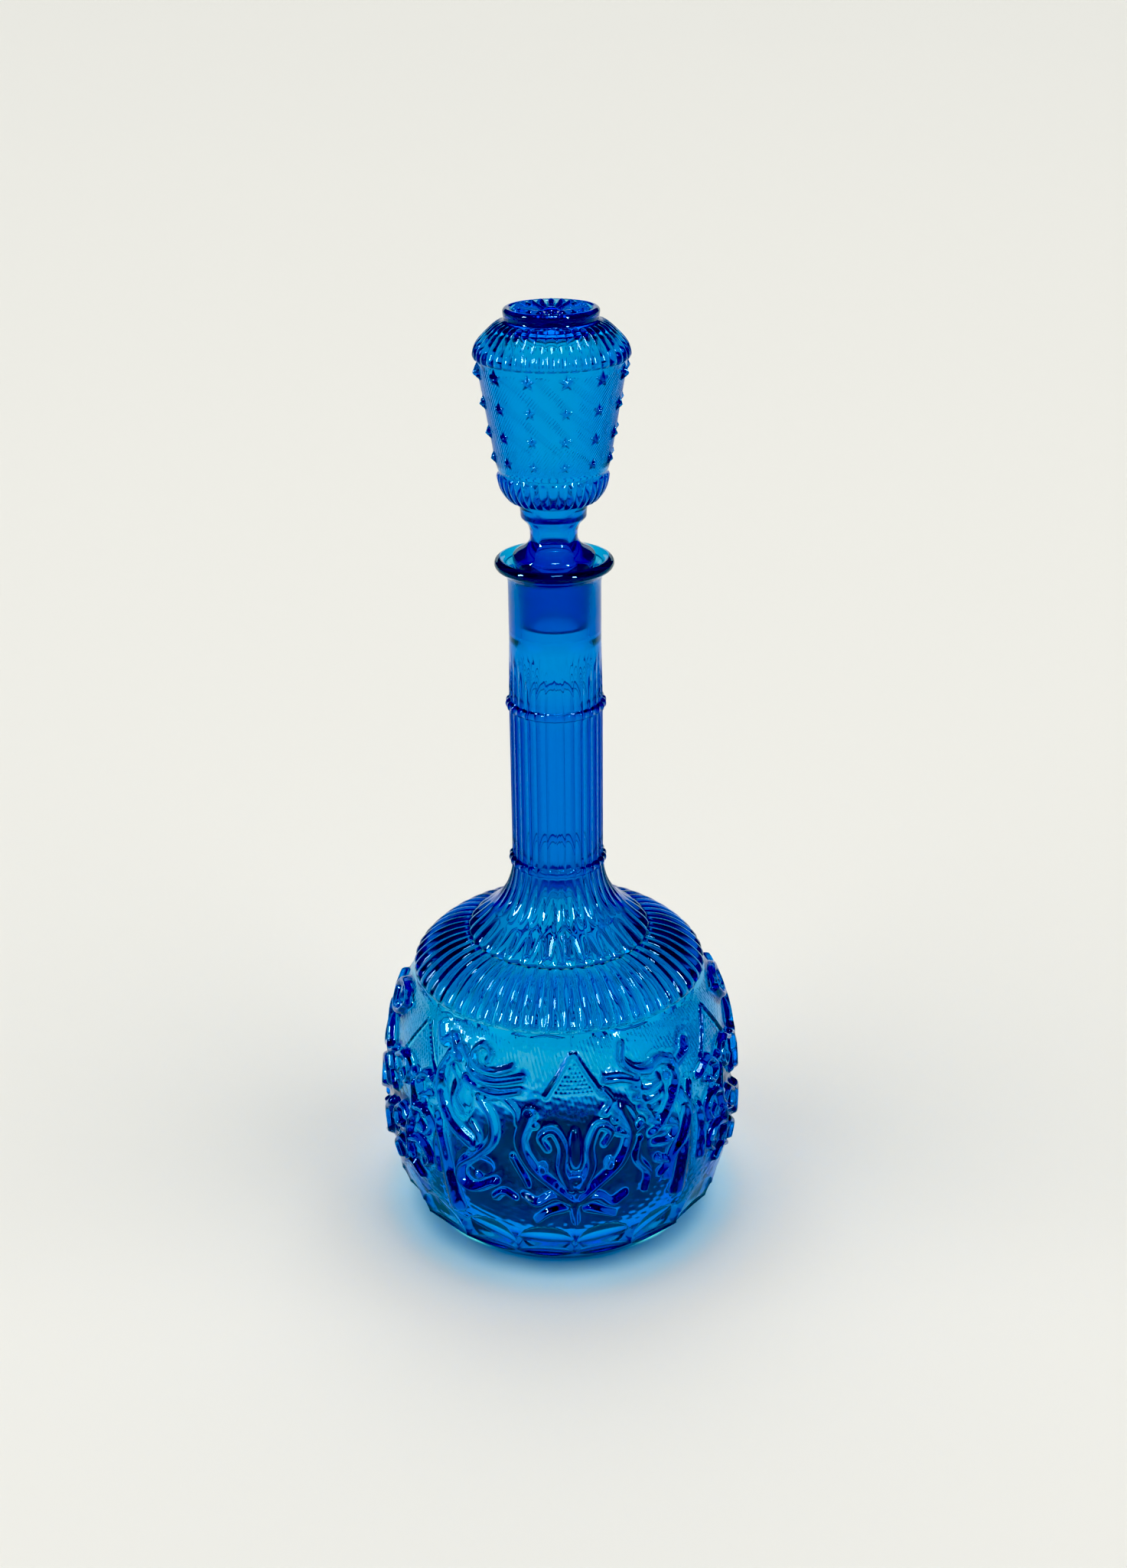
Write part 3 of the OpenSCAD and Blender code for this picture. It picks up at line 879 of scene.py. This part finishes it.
def floor_paint(name):
    """Pale matt paper, very faintly mottled, with painted shade under the glass foot and painted blue light
    round it.
    """
    material, nodes, links, out, shader = new_material(name)
    shader.inputs["Roughness"].default_value = 0.9
    shader.inputs["Specular IOR Level"].default_value = 0.1
    noise = nodes.new("ShaderNodeTexNoise")
    noise.inputs["Scale"].default_value = 6.0
    noise.inputs["Detail"].default_value = 3.0
    paper = nodes.new("ShaderNodeMix")
    paper.data_type = "RGBA"
    paper.inputs["A"].default_value = (0.82, 0.812, 0.775, 1)
    paper.inputs["B"].default_value = (0.80, 0.795, 0.765, 1)
    links.new(noise.outputs["Fac"], paper.inputs["Factor"])
    place = nodes.new("ShaderNodeTexCoord")

    def distance_ramp(stops, centre=(0.0, 0.0)):
        away = nodes.new("ShaderNodeVectorMath")
        away.operation = "DISTANCE"
        away.inputs[1].default_value = (centre[0] * MM, centre[1] * MM, 0)
        links.new(place.outputs["Object"], away.inputs[0])
        scaled = nodes.new("ShaderNodeMapRange")
        scaled.inputs["From Max"].default_value = FLOOR_SPAN * MM
        links.new(away.outputs["Value"], scaled.inputs["Value"])
        node = nodes.new("ShaderNodeValToRGB")
        node.color_ramp.interpolation = "EASE"
        bands = node.color_ramp.elements
        while len(bands) < len(stops):
            bands.new(1.0)
        for band, (radius, colour) in zip(bands, stops):
            band.position = radius / FLOOR_SPAN
            band.color = (*colour, 1)
        links.new(scaled.outputs["Result"], node.inputs["Fac"])
        return node.outputs["Color"]

    # Painted shade: the foot's ramp darkens the paper under the glass foot and tints it blue round it.
    shade_painted = nodes.new("ShaderNodeMix")
    shade_painted.data_type = "RGBA"
    shade_painted.blend_type = "MULTIPLY"
    shade_painted.inputs["Factor"].default_value = 1.0
    links.new(paper.outputs["Result"], shade_painted.inputs["A"])
    links.new(distance_ramp(FOOT_PAINTED_SHADE), shade_painted.inputs["B"])
    links.new(shade_painted.outputs["Result"], shader.inputs["Base Color"])
    # Painted light: the halo and the gleam under the heel glow as emission from the floor.
    painted_glow = nodes.new("ShaderNodeMix")
    painted_glow.data_type = "RGBA"
    links.new(distance_ramp(GLEAM_ROOM), painted_glow.inputs["Factor"])
    links.new(distance_ramp(GLEAM, GLEAM_CENTRE), painted_glow.inputs["A"])
    links.new(distance_ramp(PAINTED_HALO), painted_glow.inputs["B"])
    links.new(painted_glow.outputs["Result"], shader.inputs["Emission Color"])
    shader.inputs["Emission Strength"].default_value = 1.0
    return material


# ---------------------------------------------------------------------------
# Stage, lights and camera
# ---------------------------------------------------------------------------

ROOM_DIM = 0.02         # radiance of the dark room round the soft boxes
MIRRORED_ROOM = 0.02    # what the glass mirrors of that room
BACKDROP = 0.83         # radiance that the camera sees beyond the floor
BLACK_LEVEL = (0.06, 0.02, 0.005)       # deepens the shadows in the glass
LOW_WALL, LOW_WALL_TOP = 0.6, 10.0      # radiance of the pale wall at the horizon, its height in degrees
SOFT_BOXES = ((-68, 36, 1.92), (68, 36, 1.92), (180, 68, 2.42))     # azimuth, elevation, radiance
SOFT_BOX_CORE, SOFT_BOX_EDGE = 20, 36   # degrees from a soft box's middle where it starts and ends to fade
# name, azimuth, elevation, distance in m, (width, height) in m, radiance
LIGHT_CARDS = (
    ("card_left", -70, 25, 1.3, (0.14, 0.5), 90),
    ("card_right", 40, 28, 1.3, (0.14, 0.5), 90),
    ("card_top", 8, 72, 1.3, (0.3, 0.3), 30),
    ("card_back", 180, 12, 1.6, (1.8, 0.4), 0.8),
)


def build_floor(material):
    """A wide, plain floor."""
    half, cells = 20.0, 8
    across = cells + 1
    grid = np.linspace(-half, half, across)
    points = [(x, y, 0.0) for y in grid for x in grid]
    corners = [j * across + i for j in range(cells) for i in range(cells)]
    faces = [(k, k + 1, k + across + 1, k + across) for k in corners]
    mesh = bpy.data.meshes.new("floor")
    mesh.from_pydata(points, [], faces)
    mesh.materials.append(material)
    floor = bpy.data.objects.new("floor", mesh)
    bpy.context.scene.collection.objects.link(floor)


def light_card(target, name, az, elevation, distance, size, radiance):
    """A soft box that only gloss shows, facing the target from an azimuth and an elevation in degrees."""
    data = bpy.data.lights.new(name, "AREA")
    data.shape = "RECTANGLE"
    data.size, data.size_y = size
    data.energy = radiance * math.pi * size[0] * size[1]
    light = bpy.data.objects.new(name, data)
    a, e = math.radians(az), math.radians(elevation)
    offset = np.array([math.sin(a) * math.cos(e), -math.cos(a) * math.cos(e), math.sin(e)]) * distance
    light.location = np.array(target) + offset
    light.rotation_euler = (math.radians(90) - e, 0, a)
    light.visible_diffuse = False
    light.visible_transmission = False
    light.visible_camera = False
    bpy.context.scene.collection.objects.link(light)
    return light


def build_world():
    """A dim room with a pale low wall and three soft boxes.

    They light the floor and shine through the glass, but aren't mirrored in it."""
    world = bpy.data.worlds.new("studio")
    world.use_nodes = True
    nodes, links = world.node_tree.nodes, world.node_tree.links
    background = nodes["Background"]
    background.inputs["Color"].default_value = (1.0, 0.995, 0.965, 1)

    def math_node(operation, a, b):
        node = nodes.new("ShaderNodeMath")
        node.operation = operation
        for socket, value in zip(node.inputs, (a, b)):
            if isinstance(value, float):
                socket.default_value = value
            else:
                links.new(value, socket)
        return node.outputs[0]

    place = nodes.new("ShaderNodeTexCoord")
    parts = nodes.new("ShaderNodeSeparateXYZ")
    links.new(place.outputs["Generated"], parts.inputs[0])
    band = nodes.new("ShaderNodeMapRange")
    band.interpolation_type = "SMOOTHSTEP"
    band.inputs["From Min"].default_value = math.sin(math.radians(LOW_WALL_TOP))
    band.inputs["From Max"].default_value = 0.0
    band.inputs["To Max"].default_value = LOW_WALL
    links.new(parts.outputs["Z"], band.inputs["Value"])
    total = math_node("ADD", band.outputs["Result"], ROOM_DIM)
    for az, elevation, radiance in SOFT_BOXES:
        a, e = math.radians(az), math.radians(elevation)
        dot = nodes.new("ShaderNodeVectorMath")
        dot.operation = "DOT_PRODUCT"
        dot.inputs[1].default_value = (math.sin(a) * math.cos(e), -math.cos(a) * math.cos(e), math.sin(e))
        links.new(place.outputs["Generated"], dot.inputs[0])
        box = nodes.new("ShaderNodeMapRange")
        box.interpolation_type = "SMOOTHSTEP"
        box.inputs["From Min"].default_value = math.cos(math.radians(SOFT_BOX_EDGE))
        box.inputs["From Max"].default_value = math.cos(math.radians(SOFT_BOX_CORE))
        box.inputs["To Max"].default_value = radiance
        links.new(dot.outputs["Value"], box.inputs["Value"])
        total = math_node("ADD", box.outputs["Result"], total)
    path = nodes.new("ShaderNodeLightPath")
    mirrored = math_node("SUBTRACT", path.outputs["Is Glossy Ray"], path.outputs["Is Transmission Ray"])
    for factor, value in ((mirrored, MIRRORED_ROOM), (path.outputs["Is Camera Ray"], BACKDROP)):
        mix = nodes.new("ShaderNodeMix")
        mix.clamp_factor = True
        links.new(factor, mix.inputs["Factor"])
        links.new(total, mix.inputs["A"])
        mix.inputs["B"].default_value = value
        total = mix.outputs["Result"]
    links.new(total, background.inputs["Strength"])
    bpy.context.scene.world = world


def build_lights(height):
    for card in LIGHT_CARDS:
        light_card((0, 0, height * 0.6), *card)
    build_world()


def build_camera(height):
    """The photographer's view: from the front, above the stopper and looking down."""
    aside, back, up = 0.0068, 1.833, 1.329      # in heights of the object
    pitch, roll = 24.23, 0.63
    data = bpy.data.cameras.new("camera")
    data.lens, data.sensor_width = 43.92, 36.0
    data.clip_end = 50.0
    camera = bpy.data.objects.new("camera", data)
    camera.location = (aside * height, -back * height, up * height)
    camera.rotation_mode = "XYZ"
    tilt = math.radians(90 - pitch)
    turn = mathutils.Matrix.Rotation(tilt, 4, "X") @ mathutils.Matrix.Rotation(math.radians(-roll), 4, "Z")
    camera.rotation_euler = turn.to_euler()
    bpy.context.scene.collection.objects.link(camera)
    bpy.context.scene.camera = camera


def main():
    scene = bpy.context.scene
    scene.view_settings.view_transform = "Standard"
    scene.view_settings.use_curve_mapping = True
    scene.view_settings.curve_mapping.black_level = BLACK_LEVEL
    height = CAD_BOX[1][2] - CAD_BOX[0][2]
    build_camera(height)
    build_lights(height)
    build_floor(floor_paint("floor_paint"))
    glass = blue_glass("blue_glass")
    bottle = build_bottle(glass)
    stopper = build_stopper(glass)
    for piece, body in ((bottle, "bottle"), (stopper, "stopper")):
        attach(piece, body)
        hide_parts(body)
    scene.cycles.max_bounces = 24
    scene.cycles.transmission_bounces = 24
    scene.cycles.glossy_bounces = 8
    scene.cycles.diffuse_bounces = 4


main()
